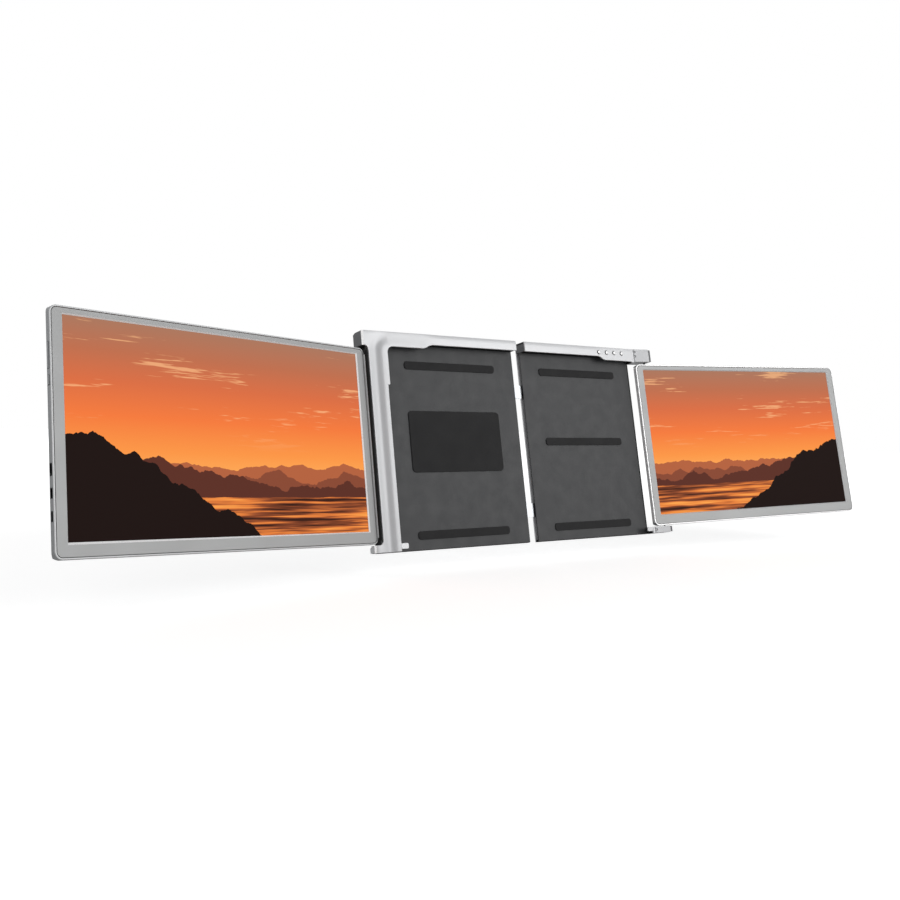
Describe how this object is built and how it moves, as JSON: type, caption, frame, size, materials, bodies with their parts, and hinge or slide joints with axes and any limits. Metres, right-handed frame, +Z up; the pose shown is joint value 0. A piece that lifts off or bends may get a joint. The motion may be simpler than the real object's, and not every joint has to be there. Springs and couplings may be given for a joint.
{
  "type": "laptop screen extender",
  "caption": "Telescoping frame that hangs on a laptop lid and carries a hinged display at each side, with clips, slide rails, press buttons and a folding rear stand.",
  "frame": {"origin": "middle of the large rubber pad that the back of the laptop lid rests on", "axes": "+X to the right along the bar, +Y to the back through the lid, +Z up along the lid"},
  "size_m": [0.9785, 0.091, 0.209],
  "materials": {
    "silver_shell": "satin silver paint",
    "black_frame": "moulded black ABS",
    "grey_casing": "fine blasted grey",
    "grey_cap": "moulded dark grey",
    "lid_plate": "moulded dark grey",
    "rubber_pad": "matt rubber",
    "steel": "brushed",
    "display": "lit screen under satin glass",
    "board": "solder mask",
    "ribbon": "polyimide film",
    "guide": "acetal",
    "button": "satin",
    "stand_metal": "satin anodised"
  },
  "bodies": {
    "left_frame": {"left_front_shell": "silver_shell", "left_mid_frame": "black_frame", "left_rear_shell": "silver_shell", "left_lid_plate": "lid_plate", "left_ear_caps": "grey_cap", "left_joint_cap": "grey_cap", "slide_rails": "steel", "left_lid_pads": "rubber_pad", "left_bottom_clip": "silver_shell", "signal_ribbon": "ribbon", "left_frame_screws": "steel", "stand_brackets": "grey_cap", "stand_pin": "steel"},
    "stand": {"rear_stand": "stand_metal", "stand_foot_pad": "rubber_pad"},
    "right_frame": {"right_front_shell": "silver_shell", "right_mid_frame": "black_frame", "right_rear_shell": "silver_shell", "right_lid_plate": "lid_plate", "right_joint_cap": "grey_cap", "rail_guides": "guide", "right_lid_pads": "rubber_pad", "right_bottom_clip": "silver_shell", "link_lugs": "steel", "button_board": "board", "right_frame_screws": "steel"},
    "button_1": {"button_1": "button"},
    "button_2": {"button_2": "button"},
    "button_3": {"button_3": "button"},
    "button_4": {"button_4": "button"},
    "right_link": {"upper_link": "silver_shell", "lower_link": "silver_shell", "link_end_caps": "grey_cap", "link_pins": "steel"},
    "right_screen": {"right_screen_cover": "grey_casing", "right_screen_bezel": "grey_casing", "right_display_panel": "display", "right_driver_board": "board", "right_port_sockets": "steel", "right_pivot_blocks": "black_frame", "right_pivot_pins": "steel", "right_screen_screws": "steel"},
    "left_screen": {"left_screen_cover": "grey_casing", "left_screen_bezel": "grey_casing", "left_display_panel": "display", "left_driver_board": "board", "left_port_sockets": "steel", "left_hinge_spine": "black_frame", "left_hinge_pins": "steel", "left_screen_screws": "steel"},
    "menu_rocker": {"left_menu_rocker": "grey_casing"},
    "power_key": {"left_power_key": "grey_casing"}
  },
  "joints": [
    {"name": "frame_slide", "type": "slide", "parent": "left_frame", "child": "right_frame", "axis": [1, 0, 0], "range_m": [-0.011, 0.06]},
    {"name": "left_screen_hinge", "type": "hinge", "parent": "left_frame", "child": "left_screen", "pos_m": [-0.1019, -0.0075, -0.00415], "axis": [0, 0, 1], "range_deg": [-13.4, 166.6]},
    {"name": "right_link_hinge", "type": "hinge", "parent": "right_frame", "child": "right_link", "pos_m": [0.2549, -0.0069, -0.00415], "axis": [0, 0, -1], "range_deg": [-7.9, 82.1]},
    {"name": "right_screen_hinge", "type": "hinge", "parent": "right_link", "child": "right_screen", "pos_m": [0.27251, -0.0051, -0.00415], "axis": [0, 0, -1], "range_deg": [-45, 90]},
    {"name": "stand_hinge", "type": "hinge", "parent": "left_frame", "child": "stand", "pos_m": [-0.018, 0.01, 0.033], "axis": [1, 0, 0], "range_deg": [0, 65]},
    {"name": "button_1_press", "type": "slide", "parent": "right_frame", "child": "button_1", "axis": [0, 1, 0], "range_m": [0, 0.0005], "stiffness_N_per_m": 800},
    {"name": "button_2_press", "type": "slide", "parent": "right_frame", "child": "button_2", "axis": [0, 1, 0], "range_m": [0, 0.0005], "stiffness_N_per_m": 800},
    {"name": "button_3_press", "type": "slide", "parent": "right_frame", "child": "button_3", "axis": [0, 1, 0], "range_m": [0, 0.0005], "stiffness_N_per_m": 800},
    {"name": "button_4_press", "type": "slide", "parent": "right_frame", "child": "button_4", "axis": [0, 1, 0], "range_m": [0, 0.0005], "stiffness_N_per_m": 800},
    {"name": "rocker_tilt", "type": "hinge", "parent": "left_screen", "child": "menu_rocker", "pos_m": [-0.41011, -0.07558, 0.0501], "axis": [-0.2317, 0.9728, 0], "range_deg": [-1.5, 1.5], "stiffness_Nm_per_rad": 0.2},
    {"name": "key_press", "type": "slide", "parent": "left_screen", "child": "power_key", "axis": [0.9728, 0.2317, 0], "range_m": [0, 0.0004], "stiffness_N_per_m": 800}
  ]
}
